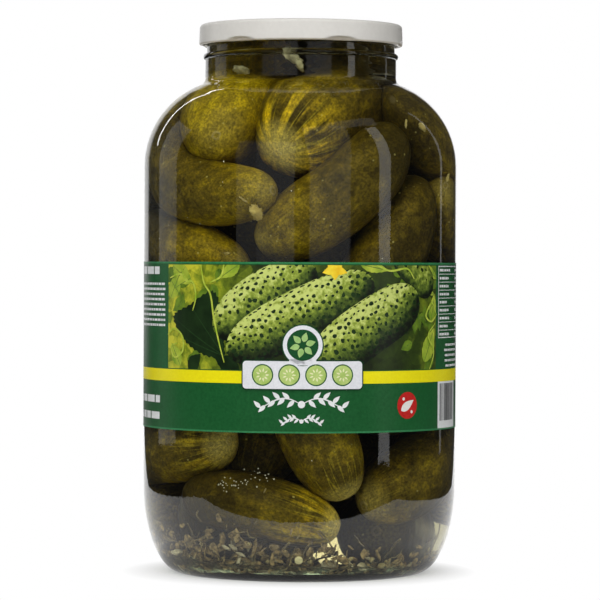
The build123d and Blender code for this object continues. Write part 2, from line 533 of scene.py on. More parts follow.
# Gherkins that show from the front, and some just behind them: thickness in mm, brightness (the skin's own
# tone, and painted shade on those set back in the neck and the middle of the jar), strength of the yellow
# streaks, and a rough middle line in mm from the blossom end to the stem.
PLACED = [
    (43, 0.18, 0.1, [(-36, -40, 220), (-26, -12, 232), (-20, 14, 235)]),
    (47, -0.02, 1.0, [(-3, -46, 210), (13, -26, 224), (24, 2, 233)]),
    (33, 0.06, 0.1, [(-17, -56, 185), (-38, -45, 192), (-54, -26, 203), (-56, -8, 219)]),
    (37, 0.02, 0.3, [(-11, -56, 172), (13, -55, 194), (35, -44, 217)]),
    (34, -0.01, 0.3, [(-33, -48, 156), (-48, -33, 162), (-57, -8, 167), (-53, 20, 170)]),
    (38, -0.02, 0.2, [(22, -52, 118), (30, -48, 140), (42, -38, 165), (50, -28, 188)]),
    (36, 0.04, 0.1, [(54, 24, 210), (56, -2, 222), (42, -22, 232)]),
    (34, -0.02, 0.2, [(58, -12, 190), (57, 8, 172), (50, 28, 150)]),
    (38, -0.16, 0.1, [(-26, -20, 182), (0, -26, 166), (26, -24, 150)]),
    (36, 0.0, 0.2, [(-54, 2, 234), (-44, 30, 228), (-22, 50, 218)]),
    (38, 0.0, 0.9, [(-36, -43, 68), (-52, -22, 66), (-56, 4, 64), (-50, 26, 60)]),
    (35, 0.01, 0.8, [(17, -55, 50), (8, -57, 75), (0, -57, 98), (-5, -56, 114)]),
    (31, -0.09, 0.95, [(10, -57, 31), (-18, -56, 38), (-44, -40, 42)]),
    (38, -0.03, 0.3, [(36, -44, 43), (53, -22, 53), (56, 4, 66), (48, 28, 80)]),
    (36, -0.16, 0.2, [(-22, -34, 58), (-14, -24, 82), (-6, -10, 104)]),
    (30, -0.18, 0.0, [(-22, 34, 238), (0, 38, 246), (22, 34, 240)]),
    (34, -0.15, 0.1, [(-34, 12, 66), (-4, 14, 64), (22, 10, 67)]),
    (37, -0.1, 0.2, [(-50, 14, 30), (-26, 28, 30), (-4, 38, 31)]),
    (36, -0.1, 0.2, [(2, -6, 30), (-16, -8, 31), (-38, -8, 31)]),
    (33, -0.2, 0.1, [(32, -14, 25), (31, 8, 25), (29, 30, 26)]),
]
# How they settle, as shares of each step in each round.
ROUNDS, PUSH_APART, PUSH_INWARDS, STIFFNESS = 260, 0.35, 0.8, 0.5
HELD_WEIGHT, HELD_PULL = 0.25, 0.08
PRESSED = 0.98  # distance from the glass at which a ball rests, as a share of its radius
SKIN_GAP = 0.12 * MM  # between a gherkin's skin and the glass
CAP = 0.62  # how far its end passes the middle of its last ball, as a share of its radius
BACK_LEVELS = [62, 104, 130, 158, 190, 216]  # heights of those against the back glass, mm
BACK_TURN = 38  # degrees from the back to the middle of each
BACK_DEPTH = 19  # mm from the glass to their middle line
LEVEL_RANGE = (36, 240)
CORE_LEVELS = [112, 156, 198]  # heights of those in the middle, mm
CORE_HALF = 32  # half the height of their middle line


def curve_through(points, places):
    """Catmull-Rom curve through points, at places from 0 to 1 of its length."""
    points = np.asarray(points, float)
    padded = np.vstack([2 * points[0] - points[1], points, 2 * points[-1] - points[-2]])
    length = np.concatenate([[0], np.cumsum(np.linalg.norm(np.diff(points, axis=0), axis=1))])
    index = np.interp(places, length / length[-1], np.arange(len(points)))
    whole = np.minimum(index.astype(int), len(points) - 2)
    t = (index - whole)[:, None]
    a, b, c, d = (padded[whole + step] for step in range(4))
    return b + 0.5 * t * (c - a + t * (2 * a - 5 * b + 4 * c - d + t * (3 * (b - c) + d - a)))


def hidden_gherkins():
    """Gherkins against the back glass and in the middle, laid at random.

    The first is left out: light comes through the gap low on the right.
    """
    laid = []
    for number, level in enumerate(BACK_LEVELS):
        for side in (-1, 1):
            middle = math.radians(180 + side * BACK_TURN + chance.uniform(-12, 12))
            rise = chance.uniform(-34, 34)
            route = []
            for step in (-1, 0, 1):
                turn = middle + step * 0.5
                height = np.clip(level + step * rise + (number % 2) * 6 * side, *LEVEL_RANGE)
                reach = inner_radius(height * MM) / MM - BACK_DEPTH
                route.append((reach * math.sin(turn), -reach * math.cos(turn), height))
            laid.append((chance.uniform(34, 39), chance.uniform(-0.12, 0.05), 0.4, route))
    for level in CORE_LEVELS:
        lean = chance.uniform(-14, 14, 2)
        start, end = (-lean[0], -lean[1], level - CORE_HALF), (lean[0], lean[1] + 8, level + CORE_HALF)
        laid.append((chance.uniform(34, 38), chance.uniform(-0.14, 0), 0.2, [start, end]))
    return laid[1:]


def settle(routes, radii, held):
    """Push the balls of all gherkins apart and off the glass, keeping each one's own shape.

    Those that are held give way less than the others, and are drawn back to their places.
    """
    balls = np.array(routes)
    own = balls - balls.mean(1, keepdims=True)
    target = balls.copy()
    size = np.array(radii)[:, None] * BALL_SHAPE
    count = len(balls)
    flat_size = size.ravel()
    owner = np.repeat(np.arange(count), NODES)
    reach = flat_size[:, None] + flat_size[None]
    others = owner[:, None] != owner[None]
    weight = np.where(held, HELD_WEIGHT, 1.0)[owner]
    share = weight[:, None] / (weight[:, None] + weight[None])
    pull = np.where(held, HELD_PULL, 0.0)[:, None, None]
    for _ in range(ROUNDS):
        balls += pull * (target - balls)
        points = balls.reshape(-1, 3)
        apart = points[:, None] - points[None]
        distance = np.linalg.norm(apart, axis=2) + 1e-9
        overlap = np.where(others, (reach - distance).clip(0), 0)
        points = points + (apart / distance[..., None] * (overlap * share * PUSH_APART)[..., None]).sum(1)
        gap, inwards = wall_gap(points)
        points += inwards * (flat_size * PRESSED - gap).clip(0)[:, None] * PUSH_INWARDS
        points[:, 2] = np.minimum(points[:, 2], BRINE_TOP - flat_size)
        balls = points.reshape(count, NODES, 3)
        middle = balls.mean(1, keepdims=True)
        left, _, right = np.linalg.svd(np.einsum("nki,nkj->nij", own, balls - middle))
        flip = np.sign(np.linalg.det(left @ right))
        right[:, 2] *= flip[:, None]
        balls = balls + STIFFNESS * (middle + own @ (left @ right) - balls)
    return balls


def gherkin_surface(balls, thickness, seed):
    """Skin of one gherkin around its settled middle line, pressed flat where it meets the glass."""
    dice = np.random.default_rng(seed)
    rows, columns = 84, 64
    radius = thickness / 2
    first, last = (end + (end - beside) / np.linalg.norm(end - beside) * radius * CAP
                   for end, beside in ((balls[0], balls[1]), (balls[-1], balls[-2])))
    even = np.linspace(0.0, 1.0, rows)
    place = 0.35 * even + 0.65 * (1 - np.cos(math.pi * even)) / 2
    spine = curve_through([first, *balls, last], place)
    length = np.linalg.norm(np.diff(spine, axis=0), axis=1).sum()
    profile = radius * (1 - np.abs(2 * place - 1) ** dice.uniform(2.7, 3.3)) ** 0.46
    taper = dice.uniform(-0.1, 0.1)
    profile = profile * (1 + taper * (place - 0.5))
    angle = full_turn(columns)
    lobes = 1 + 0.022 * np.cos(3 * angle + dice.uniform(0, 6))
    lobes = lobes + 0.02 * np.cos(2 * angle + dice.uniform(0, 6))
    lumps = np.zeros((rows, columns))
    for waves in (1, 2, 3, 5):
        for turns in (1, 2, 3):
            phase = dice.uniform(0, 6.28, 2)
            swell = np.sin(waves * 3.1 * place[:, None] + phase[0]) * np.cos(turns * angle + phase[1])
            lumps += swell * 0.012 / waves
    heading = np.gradient(spine, axis=0)
    heading /= np.linalg.norm(heading, axis=1)[:, None]
    side = np.cross(heading[0], (0.3, 0.2, 0.93))
    points = np.zeros((rows, columns, 3))
    for row in range(rows):
        side = side - heading[row] * side.dot(heading[row])
        side /= np.linalg.norm(side)
        other = np.cross(heading[row], side)
        out = profile[row] * lobes * (1 + lumps[row])
        points[row] = spine[row] + np.outer(out * np.cos(angle), side) + np.outer(out * np.sin(angle), other)
    flat = keep_in(points.reshape(-1, 3), SKIN_GAP)
    ahead = (place * length)[:, None]
    wide = profile[:, None]
    rest = np.stack(np.broadcast_arrays(ahead, wide * np.cos(angle), wide * np.sin(angle)), axis=2)
    around = np.stack(np.broadcast_arrays(np.cos(angle), np.sin(angle), ahead * 6), axis=2)
    step = np.hypot(np.diff(place * length), np.diff(profile))
    walked = np.concatenate([[0], np.cumsum(step)])
    marks = {
        "rest": rest.reshape(-1, 3) + dice.uniform(-1, 1, 3),
        "around": around.reshape(-1, 3) + dice.uniform(-9, 9, 3),
        "from_blossom": np.repeat(walked, columns),
        "from_stem": np.repeat(walked[-1] - walked, columns),
    }
    return flat, grid_faces(rows, columns, around=True), marks


def make_gherkins():
    material = gherkin_material()
    laid = PLACED + hidden_gherkins()
    routes, radii = [], []
    ball_places = np.linspace(0, 1, NODES)
    for thickness, _, _, route in laid:
        routes.append(curve_through(np.array(route) * MM, ball_places))
        radii.append(thickness / 2 * MM)
    held = [number < len(PLACED) for number in range(len(laid))]
    settled = settle(routes, radii, held)
    for number, ((thickness, tone, streaks, _), balls) in enumerate(zip(laid, settled)):
        points, faces, marks = gherkin_surface(balls, thickness * MM, 100 + number)
        piece = new_piece(f"gherkin_{number + 1:02d}", points, faces, material)
        marks["tone"] = np.full(len(points), tone)
        marks["streaks"] = np.full(len(points), streaks)
        for name, values in marks.items():
            set_attribute(piece, name, values, "FLOAT" if values.ndim == 1 else "FLOAT_VECTOR")


# ---------------------------------------------------------------- spices and bits

BED_R = 58.3  # mm; out to where the bed follows the floor of the jar
CLEARANCE = 0.1 * MM  # between small things and the glass


def spot(turn, out, height):
    """Place at an angle in degrees from the front, a distance in mm from the axis and a height."""
    turn = math.radians(turn)
    return np.array([out * math.sin(turn), -out * math.cos(turn), height]) * MM


def bed_height(turn, share):
    """Depth in mm of the sediment, most at the left front and the back, least at the right front."""
    turn = math.radians(turn)
    swell = 2.6 + 1.2 * math.cos(turn + 0.9) - 1.2 * math.cos(turn - 1.0) + 1.1 * (1 - math.cos(turn))
    ripple = 0.7 * math.sin(5 * turn + 1) + 0.5 * math.sin(9 * turn + 3 * share) + 0.4 * math.sin(17 * turn)
    return max(1.2, swell + ripple * share)


def outline_height(out):
    """Height of the inside of the glass at a distance from the axis, floor and heel."""
    low = SIDE[:, 1] < 50 * MM
    return max(floor_height(out * MM), np.interp(out * MM, SIDE[low, 0], SIDE[low, 1])) / MM


def make_sediment():
    """Fine matter that has settled on the bottom, as one closed heap."""
    around, rings = 120, 22
    from_heel, inner_r, heel_r = 0.9, 66, 72
    upper, lower = [], []
    for share in np.arange(1, rings + 1) / rings:
        for turn in np.arange(around) * 360 / around:
            level = outline_height(BED_R * share) + bed_height(turn, share)
            wall = inner_radius(level * MM) / MM
            out = min(heel_r * share, wall - 0.15) if share > from_heel else inner_r * share
            ground = outline_height(out) + 0.1
            level = max(level + 0.5 * chance.normal() * (share < 1), ground + 0.1)
            upper.append(spot(turn, out, level))
            lower.append(spot(turn, out, ground))
    upper_faces = grid_faces(rings, around, around=True)
    count = len(upper)
    faces = turned_over(upper_faces) + [tuple(index + count for index in face) for face in upper_faces]
    faces += turned_over(fan(0, around, 2 * count)) + fan(count, around, 2 * count + 1)
    edge = (rings - 1) * around
    for low, beside, _ in fan(edge, around, 0):
        faces.append((low, beside, count + beside, count + low))
    middle = outline_height(0)
    points = np.vstack([upper, lower, spot(0, 0, middle + 5), spot(0, 0, middle + 0.1)])
    looks = speckled_material("sediment", (0.02, 0.017, 0.01), (0.13, 0.1, 0.055), 700, 0.8, 0.1)
    new_piece("sediment", points, faces, looks)


def turned_by_chance(points):
    """Points turned a random way about the origin."""
    axes, _ = np.linalg.qr(chance.normal(size=(3, 3)))
    return points @ axes


def flake(length, width, thickness, segments=9, rings=5):
    """Uneven flat flake, sizes in mm."""
    points, faces = blob(np.array([length, width, thickness]) / 2 * MM, segments, rings)
    dents = 1 + 0.22 * np.sin(points[:, :1] / (length * 0.2 * MM) + chance.uniform(0, 6))
    dents = dents + 0.15 * chance.normal(size=(len(points), 1))
    curl = np.zeros_like(points)
    curl[:, 2] = points[:, 0] ** 2 / (length * MM) * chance.uniform(-0.4, 0.4)
    return points * dents + curl, faces


def stalk(length, thickness):
    """Bent thin tube, sizes in mm."""
    bends, corners = 3, 5
    steps = chance.normal([1, 0, 0], [0.2, 0.22, 0.22], (bends + 1, 3))
    joints = np.cumsum(np.vstack([np.zeros(3), steps]), axis=0)
    joints *= length / np.linalg.norm(joints[-1]) * MM
    spine = curve_through(joints - joints.mean(0), np.linspace(0, 1, 5 * bends))
    heading = np.gradient(spine, axis=0)
    side = np.cross(heading, (0.1, 0.2, 1))
    side /= np.linalg.norm(side, axis=1)[:, None]
    other = np.cross(heading, side)
    other /= np.linalg.norm(other, axis=1)[:, None]
    turn = full_turn(corners)[:, None]
    radius = thickness / 2 * MM * np.linspace(1, 0.6, len(spine))[:, None, None]
    ring = spine[:, None] + radius * (np.cos(turn) * side[:, None] + np.sin(turn) * other[:, None])
    points = np.vstack([ring.reshape(-1, 3), spine[0], spine[-1]])
    return points, closed_faces(len(spine), corners, (len(points) - 2, len(points) - 1))


def settled_spots(count, highest):
    """Places on the sediment close to the glass, most of them at the left front."""
    places = []
    while len(places) < count:
        turn = chance.uniform(-180, 180)
        crowd = 0.25 + 0.75 * math.exp(-(((turn + 34) / 44) ** 2)) + 0.25 * (abs(turn) > 90)
        if chance.random() < crowd:
            level = 6.5 + abs(chance.normal()) * highest * (0.4 + crowd * 0.6)
            out = inner_radius(level * MM) / MM - 1.3 - abs(chance.normal()) * 4
            level = max(level, outline_height(out) + 1)
            places.append(spot(turn, out, level))
    return places


def keep_in(points, clearance=CLEARANCE):
    """Points moved inwards where they would lie in the glass."""
    gap, inwards = wall_gap(points)
    return points + inwards * (clearance - gap).clip(0)[:, None]


def scatter(name, make, places, *looks):
    """One piece of many small things, one at each place, with the looks of a speckled material."""
    parts = []
    for place in places:
        points, faces = make()
        parts.append((keep_in(turned_by_chance(points) + place), faces))
    new_piece(name, *join_meshes(parts), speckled_material(*looks))


NECK_ONION = [spot(-7.5, 40.5, 259), spot(-4, 41, 257), spot(-1, 41.5, 254), spot(-45, 40, 252.5)]
GARLIC_BITS = [spot(-21.5, 75, 187.5), spot(57, 70, 223), spot(46, 72, 226), spot(-28, 74.8, 161),
               spot(72, 75, 200)]


def make_spices():
    """Settled seeds, husks, stalks and onion, and what clings to the gherkins by the glass."""
    within = chance.uniform
    scatter("mustard_seeds", lambda: blob(np.array([1.2, 1.15, 1.3]) * within(0.8, 1.15) * MM),
            settled_spots(70, 8), "mustard", (0.22, 0.17, 0.07), (0.42, 0.35, 0.18), 1500)
    scatter("pale_seed", lambda: blob(np.full(3, 2.0) * MM, 18, 12),
            [spot(0, 67, 12.5)], "pale_seed", (0.7, 0.62, 0.36), (0.85, 0.78, 0.5), 900, 0.3)
    scatter("husks", lambda: flake(within(3, 8), within(2, 4.5), 0.9, 10, 6),
            settled_spots(560, 10), "husk", (0.09, 0.062, 0.024), (0.43, 0.31, 0.14), 500)
    scatter("onion_bits", lambda: flake(within(4, 9), within(3, 5), 1.3, 14, 7),
            settled_spots(64, 9), "onion", (0.36, 0.31, 0.2), (0.64, 0.57, 0.42), 500, 0.35)
    scatter("stalks", lambda: stalk(within(7, 26), within(0.5, 1.4)),
            settled_spots(110, 12), "stalk", (0.09, 0.065, 0.022), (0.28, 0.22, 0.1), 900)
    scatter("neck_onion", lambda: flake(within(7, 9), within(5, 6.5), 3, 24, 12),
            NECK_ONION, "soft_onion", (0.25, 0.225, 0.13), (0.46, 0.42, 0.27), 260, 0.35)
    scatter("garlic_flake", lambda: flake(7.8, 6.6, 4.5, 26, 14),
            [spot(-16.5, 74, 181)], "garlic", (0.36, 0.26, 0.07), (0.58, 0.45, 0.16), 350, 0.35)
    scatter("garlic_bits", lambda: flake(within(4, 7), within(2.5, 4.5), 1.1, 14, 7),
            GARLIC_BITS, "garlic_bit", (0.3, 0.23, 0.07), (0.46, 0.37, 0.15), 600, 0.35)
    bubbles = [spot(turn, 75.3, 50 + 3.5 * math.cos(math.radians(4 * turn)) + chance.normal() * 2)
               for turn in within(-31, -8, 44)]
    bubbles += [spot(within(-80, 80), 75.2, within(60, 220)) for _ in range(30)]
    scatter("bubbles", lambda: blob(np.full(3, within(0.2, 0.42)) * MM, 8, 5),
            bubbles, "bubble", (0.5, 0.48, 0.42), (0.75, 0.73, 0.68), 2000, 0.15, 0.8)


# ---------------------------------------------------------------- lid

SHEET = 0.3  # mm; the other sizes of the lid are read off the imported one
LUG_SPAN = 20  # degrees
DENT_RISE = 2.3  # mm; height of the crescents where the lower edge is pressed in to make the lugs
DENT_DEPTH = 1.5  # mm
WORN_RISE = 1.3  # mm; height over the lower edge up to which the lacquer turns tan
LUGS = 6
FIRST_LUG = -36.75  # degrees


def arc(middle, radius, start, end, steps):
    angles = np.radians(np.linspace(start, end, steps + 1))
    return [(middle[0] + radius * math.cos(a), middle[1] + radius * math.sin(a)) for a in angles]


def make_lid():
    """Pressed lid: sunk panel, rounded edge, skirt with six crescent dents, rolled lower edge."""
    (_, _, low), (foot, _, top) = [[value / MM for value in corner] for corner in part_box("lid")]
    curl, edge, mouth = 0.9, 1.8, MOUTH_R / MM
    skirt, panel = foot - 0.25, top - 1.4
    curl_z, edge_z = low + curl, top - edge
    slope = [(mouth - 3, panel), (mouth - 1, top), (mouth + 1, top)]
    outside = [(0, panel), (mouth - 12, panel), *slope]
    outside += arc((skirt - edge, edge_z), edge, 90, 0, 8)
    heights = np.concatenate([np.linspace(edge_z, low + 4, 6)[1:], np.linspace(low + 4, curl_z, 12)[1:-1]])
    outside += [(np.interp(z, (curl_z, edge_z), (foot, skirt)), z) for z in heights]
    outside += arc((foot - curl, curl_z), curl, 0, -250, 18)
    inner = [(skirt - SHEET, z) for z in np.linspace(curl_z + 1.4, edge_z, 5)]
    inner += arc((skirt - edge, edge_z), edge - SHEET, 0, 90, 5)[1:]
    inner += [(r, z - SHEET) for r, z in (*reversed(slope), (0, panel))]
    outline = [(r * MM, z * MM) for r, z in [*outside, *inner]]
    points, faces = lathe(outline[::-1], 288)
    points = np.array(points)
    across = np.hypot(points[:, 0], points[:, 1])
    above = points[:, 2] / MM - low
    angle = np.degrees(np.arctan2(points[:, 0], -points[:, 1]))
    off = np.abs((angle - FIRST_LUG + 180 / LUGS) % (360 / LUGS) - 180 / LUGS)
    rise = DENT_RISE * np.sqrt((1 - (off / (LUG_SPAN / 2)) ** 2).clip(0))
    pressed = ((rise - above) / 0.7).clip(0, 1) * (across > (skirt - 3) * MM) * (rise / DENT_RISE)
    points[:, :2] *= (1 - pressed * DENT_DEPTH * MM / np.maximum(across, MM))[:, None]
    lugs = [lug_block(FIRST_LUG + number * 360 / LUGS, low, foot) for number in range(LUGS)]
    points, faces = join_meshes([(points, faces), *lugs])
    piece = new_piece("lid_pressed", points, faces, lid_material())
    piece.data.set_sharp_from_angle(angle=math.radians(40))
    # Tan towards the lower edge, and painted shade in the crescent dents.
    worn = (1 - (points[:, 2] / MM - low) / WORN_RISE).clip(0, 1)
    worn[: len(pressed)] = np.maximum(worn[: len(pressed)], pressed)
    set_attribute(piece, "edge", worn)
    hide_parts("lid")


def lug_block(angle, low, foot):
    """Tab inside the lower edge that hooks under a thread ridge."""
    tips = [(foot - 3.6, low + 0.5), (foot - 2, low + 0.4), (foot - 2, low + 1.4), (foot - 3.6, low + 1.3)]
    turns = np.radians(angle + np.linspace(-LUG_SPAN / 2.4, LUG_SPAN / 2.4, 12))
    points = [(r * MM * math.sin(a), -r * MM * math.cos(a), z * MM) for a in turns for r, z in tips]
    faces = grid_faces(len(turns), 4, around=True)
    last = len(points) - 4
    return points, [*faces, (3, 2, 1, 0), (last, last + 1, last + 2, last + 3)]


def make_liner():
    """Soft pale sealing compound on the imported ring."""
    compound = speckled_material("sealing_compound", (0.42, 0.4, 0.35), (0.5, 0.48, 0.42), 700, 0.6)
    frame["nodes"]["lid_liner"].material_slots[0].material = compound


# ---------------------------------------------------------------- printed label

# Places on the label are in mm: across from the middle of the front, towards +X, and height above
# the table. Each ink lies in a layer of its own over the paper.
PAPER_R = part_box("label")[1][0]
LABEL_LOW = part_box("label")[0][2] / MM
LABEL_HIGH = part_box("label")[1][2] / MM
HALF_ROUND = math.pi * PAPER_R / MM
TOOTH_DEPTH = 0.12  # of a toothed leaf's edge, as a share of its half width
STRIP = 2.5  # mm; flat shapes are cut into strips so narrow before they are bent round the jar
LIFT = 0.04  # mm; from one layer to the next
PICTURE = (-76, 104.5, 80.6, 155.6)  # left, low, right, high
BAND = (98, 104)
PLATE = (-28, 95.5, 31, 109)
SEAL = (58, 87, 6.6)  # across, height, radius
OFF_WHITE = (226, 227, 232), (238, 239, 243)


def rounded(left, low, right, high, corner, steps=8):
    """Outline of a rectangle with round corners."""
    outline = []
    middles = ((right, low), (right, high), (left, high), (left, low))
    for quarter, (across, height) in enumerate(middles):
        mid_x = across - math.copysign(corner, across - (left + right) / 2)
        mid_z = height - math.copysign(corner, height - (low + high) / 2)
        for step in range(steps + 1):
            angle = math.pi / 2 * (quarter - 1 + step / steps)
            outline.append((mid_x + corner * math.cos(angle), mid_z + corner * math.sin(angle)))
    return outline


def disc(across, height, radius, steps=8):
    return rounded(across - radius, height - radius, across + radius, height + radius, radius * 0.999, steps)


def bar(left, low, right, high):
    return [(left, low), (right, low), (right, high), (left, high)]


def leaf(base, tip, width, teeth=0):
    """Outline of a pointed leaf, with a toothed edge if asked."""
    base, along = np.array(base), np.subtract(tip, base)
    across = np.array([-along[1], along[0]]) / np.hypot(*along)
    steps = max(2 * teeth, 12)
    places = np.linspace(0, 1, steps + 1)
    swell = np.sin(math.pi * places**0.75)
    if teeth:
        swell = swell * (1 + TOOTH_DEPTH * (np.arange(steps + 1) % 2))
    offset = across * (swell * width / 2)[:, None]
    spine = base + along * places[:, None]
    return [tuple(p) for p in np.vstack([spine - offset, (spine + offset)[-2:0:-1]])]


def flat_line(route, places):
    """Points of a smooth line on the label, its heading and the way across it."""
    spine = curve_through(route, places)
    heading = np.gradient(spine, axis=0)
    heading /= np.hypot(*heading.T)[:, None]
    return spine, heading, np.column_stack([-heading[:, 1], heading[:, 0]])


def ribbon(route, width):
    """Thin line along a route as (points, faces, shades), thinner towards its ends."""
    places = np.linspace(0, 1, 8 * len(route))
    spine, _, across = flat_line(route, places)
    half = width / 2 * (0.45 + 0.55 * np.sin(math.pi * places))
    sides = np.stack([spine + across * half[:, None], spine - across * half[:, None]], axis=1)
    return sides.reshape(-1, 2), grid_faces(len(places), 2), np.full(2 * len(places), 0.5)


def printed(name, shapes, layer, dark, light, scale=900, window=None):
    """Flat shapes on the label as one piece in one ink, which varies between two colours."""
    bend_round(name, shapes, layer, inked(name + "_ink", dark, light, scale), window)


def bend_round(name, shapes, layer, material, window=None):
    """Flat shapes as one piece on the label: outlines, or (points, faces, shades) patches.

    The layer says how many lifts they lie above the paper. What is past the window is cut off.
    """
    flat = bmesh.new()
    shade_layer = flat.verts.layers.float.new("shade")
    for shape in shapes:
        if isinstance(shape, tuple):
            points, faces, shades = shape
        else:
            points, faces, shades = shape, [range(len(shape))], [0.5] * len(shape)
        made = []
        for point, shade in zip(points, shades):
            vertex = flat.verts.new((point[0], point[1], point[2] if len(point) > 2 else 0))
            vertex[shade_layer] = shade
            made.append(vertex)
        for face in faces:
            flat.faces.new([made[index] for index in face])
    bmesh.ops.triangulate(flat, faces=flat.faces)
    if window:
        left, low, right, high = window
        for place, way in (((left, 0, 0), (-1, 0, 0)), ((right, 0, 0), (1, 0, 0)),
                           ((0, low, 0), (0, -1, 0)), ((0, high, 0), (0, 1, 0))):
            slice_flat(flat, place, way, True)
    reach = [vertex.co.x for vertex in flat.verts]
    for strip in np.arange(math.ceil(min(reach) / STRIP) * STRIP, max(reach), STRIP):
        slice_flat(flat, (strip, 0, 0), (1, 0, 0), False)
    for face in flat.faces:
        if face.normal.z < 0:
            face.normal_flip()
    for vertex in flat.verts:
        across, height, raised = vertex.co
        radius = PAPER_R + (layer * LIFT + raised) * MM
        turn = across * MM / PAPER_R
        vertex.co = (radius * math.sin(turn), -radius * math.cos(turn), height * MM)
    mesh = bpy.data.meshes.new(name)
    flat.to_mesh(mesh)
    flat.free()
    place_mesh(name, mesh, material)


def slice_flat(flat, place, way, drop):
    """Cut shapes along a plane, and drop what lies beyond it if asked."""
    geometry = [*flat.verts, *flat.edges, *flat.faces]
    bmesh.ops.bisect_plane(flat, geom=geometry, plane_co=place, plane_no=way, clear_outer=drop)


# Gherkins in the picture: middle line and width, from the back one to the front one.
PICTURED = [
    ([(50, 162), (64, 152), (76, 142)], 17),
    ([(-43, 122), (-19, 140), (8, 153)], 24),
    ([(-36, 112), (0, 131), (37, 148)], 26),
    ([(8, 106), (36, 126), (65, 141)], 27),
]
SUN = np.array([-0.42, 0.66, 0.62])  # where the picture's light comes from: right, up and out
# Pale leaves of the picture: base, tip and width.
FRONT_LEAVES = [
    ((57, 149), (79, 141), 8), ((66, 156), (82, 149), 6), ((70, 108), (79, 125), 9),
    ((-72, 155), (-57, 146), 9), ((-74, 139), (-66, 152), 8), ((76, 128), (79, 142), 6),
    ((-66, 106), (-73, 117), 7), ((-30, 156), (-41, 149), 6), ((30, 156), (46, 153), 5),
]
DARK_LEAF = [(-37, 109), (-50, 111), (-63, 118), (-72, 130), (-60, 136), (-44, 143), (-39, 128), (-37, 109)]
FOLIAGE_SHADES = [(0.14, (12, 18, 5)), (0.36, (50, 70, 10)), (0.6, (124, 142, 20)), (0.85, (206, 204, 48))]
SKIN_SHADES = [(0.0, (12, 20, 8)), (0.3, (42, 60, 18)), (0.58, (92, 114, 32)), (0.8, (148, 166, 56)),
               (1.0, (204, 216, 118))]
SMALL_PRINT = ((-114, -79), (126, 160), (-168, -134))  # left and right edges of its columns
VALUES_BOX = (83, 119.6, 117, 155.4)
BOX_LINE = 0.45
CODE = (82.8, 74.8, 107, 98)  # white field of the block of bars
TENDRILS = [
    [(-52, 157), (-50, 147), (-46, 141), (-44, 130), (-41, 118), (-38, 108)],
    [(-66, 157), (-62, 148), (-57, 147), (-55, 140), (-57, 133)],
    [(-74, 149), (-66, 151), (-59, 147)],
    [(-38, 157), (-40, 150), (-46, 147)],
    [(36, 157), (46, 153), (57, 154), (62, 149)],
    [(82, 133), (76, 128), (71, 131), (76, 137), (80, 132)],
    [(-76, 121), (-70, 124), (-64, 120), (-64, 113), (-70, 110), (-73, 115), (-68, 117)],
    [(74, 104), (78, 113), (73, 121), (79, 127)],
]


def pictured_gherkin(route, width, raised, dice):
    """Patch of one gherkin in the picture, and the outlines of the warts on it."""
    rows, columns = 44, 15
    places = (1 - np.cos(np.linspace(0, math.pi, rows))) / 2
    spine, heading, across = flat_line(route, places)
    half = width / 2 * (1 - np.abs(2 * places - 1) ** 3.6) ** 0.5
    side = np.sin(np.linspace(-math.pi / 2, math.pi / 2, columns))
    flat = spine[:, None] + across[:, None] * (half[:, None] * side)[..., None]
    tilt = (2 * places - 1) ** 5
    facing = across[:, None] * side[None, :, None] + (heading * tilt[:, None])[:, None]
    front = np.sqrt((1.02 - side**2).clip(0))[None] * (1 - np.abs(tilt))[:, None]
    bright = (0.19 + 0.82 * (facing @ SUN[:2] + front * SUN[2])).clip(0, 1)
    points = np.concatenate([flat, np.full((rows, columns, 1), raised)], axis=2).reshape(-1, 3)
    warts = []
    for _ in range(int(width * 40)):
        along, sideways = dice.uniform(0.04, 0.96), dice.uniform(-0.92, 0.92)
        row = int(along * (rows - 1))
        middle = spine[row] + across[row] * half[row] * math.sin(sideways * math.pi / 2)
        if all(np.hypot(*(middle - np.mean(wart, axis=0)[:2])) > 2.5 for wart in warts):
            flatten = max(math.cos(sideways * math.pi / 2), 0.35)
            turn = full_turn(7)
            size = dice.uniform(0.65, 1.3) * dice.uniform(0.6, 1.3, 7)
            ring = middle + (heading[row] * (np.cos(turn) * size)[:, None]
                             + across[row] * (np.sin(turn) * size * flatten)[:, None])
            warts.append([(*corner, raised + LIFT / 2) for corner in ring])
    return (points, grid_faces(rows, columns), bright.ravel()), warts


def words(left, right, low, high, gap, dice):
    """Bars of uneven length in a row, as small print looks from afar."""
    row, start = [], left
    while start < right - 2 * gap:
        end = min(start + dice.uniform(3, 9) * gap, right)
        row.append(bar(start, low, end, high))
        start = end + gap
    return row


